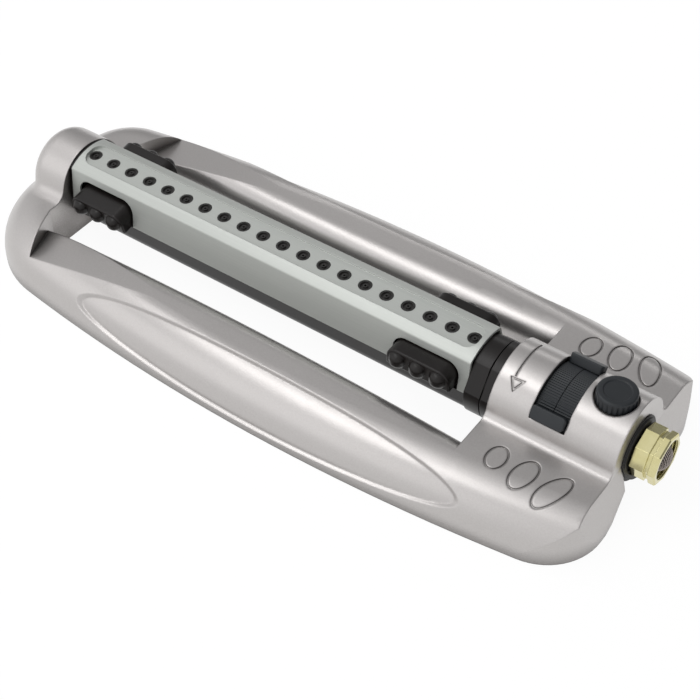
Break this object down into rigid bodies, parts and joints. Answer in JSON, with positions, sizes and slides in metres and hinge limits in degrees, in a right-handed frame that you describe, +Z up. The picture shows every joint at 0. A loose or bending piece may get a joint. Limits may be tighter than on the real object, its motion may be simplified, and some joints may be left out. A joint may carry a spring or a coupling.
{
  "type": "oscillating lawn sprinkler",
  "caption": "Oscillating lawn sprinkler: a long spray bar with a row of nozzles swings in a low silver base with range rings, a flow knob and a brass hose nut.",
  "frame": {"origin": "on the ground, below the middle of the whole length and on the long centre plane", "axes": "+X along the spray bar toward the hose nut, +Z up, -Y toward the front rail"},
  "size_m": [0.51, 0.2068, 0.072],
  "materials": {
    "silver_paint": "satin",
    "satin_aluminium": "satin",
    "black_plastic": "semi-gloss",
    "ring_plastic": "fine matte",
    "nozzle_rubber": "matte",
    "seal_rubber": "matte",
    "hose_brass": "polished",
    "filter_mesh": "woven",
    "steel": "plated",
    "pale_plastic": "moulded"
  },
  "bodies": {
    "base": {"base_frame": "silver_paint", "floor_plate": "black_plastic", "floor_screws": "steel", "left_bush": "pale_plastic", "right_bush": "pale_plastic", "gear_plate": "pale_plastic", "gear_case": "pale_plastic", "axle_pins": "steel", "trip_spring": "steel", "inlet_body": "black_plastic", "valve_cap": "black_plastic", "stem_seal": "seal_rubber", "inlet_gasket": "seal_rubber", "hose_washer": "seal_rubber", "filter_screen": "filter_mesh"},
    "spray_bar": {"bar_cover": "satin_aluminium", "water_tube": "black_plastic", "nozzles": "nozzle_rubber", "left_end_plug": "black_plastic", "drive_sleeve": "black_plastic", "bar_gear": "pale_plastic"},
    "left_collar": {"left_width_collar": "black_plastic"},
    "right_collar": {"right_width_collar": "black_plastic"},
    "first_gear_wheel": {"first_gear": "pale_plastic"},
    "second_gear_wheel": {"second_gear": "pale_plastic"},
    "turbine_wheel": {"turbine": "pale_plastic"},
    "front_ring": {"front_range_ring": "ring_plastic"},
    "rear_ring": {"rear_range_ring": "ring_plastic"},
    "lever": {"trip_lever": "pale_plastic"},
    "knob": {"flow_knob": "ring_plastic", "valve_plug": "pale_plastic"},
    "nut": {"hose_nut": "hose_brass"}
  },
  "joints": [
    {"name": "bar_swing", "type": "hinge", "parent": "base", "child": "spray_bar", "pos_m": [0, 0, 0.035], "axis": [1, 0, 0], "range_deg": [-51, 39]},
    {"name": "left_collar_turn", "type": "hinge", "parent": "spray_bar", "child": "left_collar", "pos_m": [0, 0, 0.035], "axis": [1, 0, 0], "range_deg": [-11, 1]},
    {"name": "right_collar_turn", "type": "hinge", "parent": "spray_bar", "child": "right_collar", "pos_m": [0, 0, 0.035], "axis": [1, 0, 0], "range_deg": [-3, 9]},
    {"name": "first_gear_spin", "type": "hinge", "parent": "base", "child": "first_gear_wheel", "pos_m": [0.163, 0.01655, 0.02112], "axis": [1, 0, 0], "range_deg": [-195, 255]},
    {"name": "second_gear_spin", "type": "hinge", "parent": "base", "child": "second_gear_wheel", "pos_m": [0.168, 0.00215, 0.02112], "axis": [1, 0, 0], "range_deg": [-765, 585]},
    {"name": "turbine_spin", "type": "hinge", "parent": "base", "child": "turbine_wheel", "pos_m": [0.185, -0.00505, 0.03359], "axis": [1, 0, 0], "range_deg": [-1755, 2295]},
    {"name": "front_ring_turn", "type": "hinge", "parent": "base", "child": "front_ring", "pos_m": [0, 0, 0.035], "axis": [1, 0, 0], "range_deg": [-34, 0]},
    {"name": "rear_ring_turn", "type": "hinge", "parent": "base", "child": "rear_ring", "pos_m": [0, 0, 0.035], "axis": [1, 0, 0], "range_deg": [0, 34]},
    {"name": "lever_trip", "type": "hinge", "parent": "base", "child": "lever", "pos_m": [0.1715, 0, 0.047], "axis": [1, 0, 0], "range_deg": [-12, 12]},
    {"name": "knob_turn", "type": "hinge", "parent": "base", "child": "knob", "pos_m": [0.2144, 0, 0.06], "axis": [0, 0, 1], "range_deg": [0, 90]},
    {"name": "nut_spin", "type": "hinge", "parent": "base", "child": "nut", "pos_m": [0.2422, 0, 0.035], "axis": [1, 0, 0], "continuous": true}
  ],
  "couplings": [
    {"joint": "first_gear_spin", "follows": "bar_swing", "ratio": -5},
    {"joint": "second_gear_spin", "follows": "bar_swing", "ratio": 15},
    {"joint": "turbine_spin", "follows": "bar_swing", "ratio": -45}
  ]
}
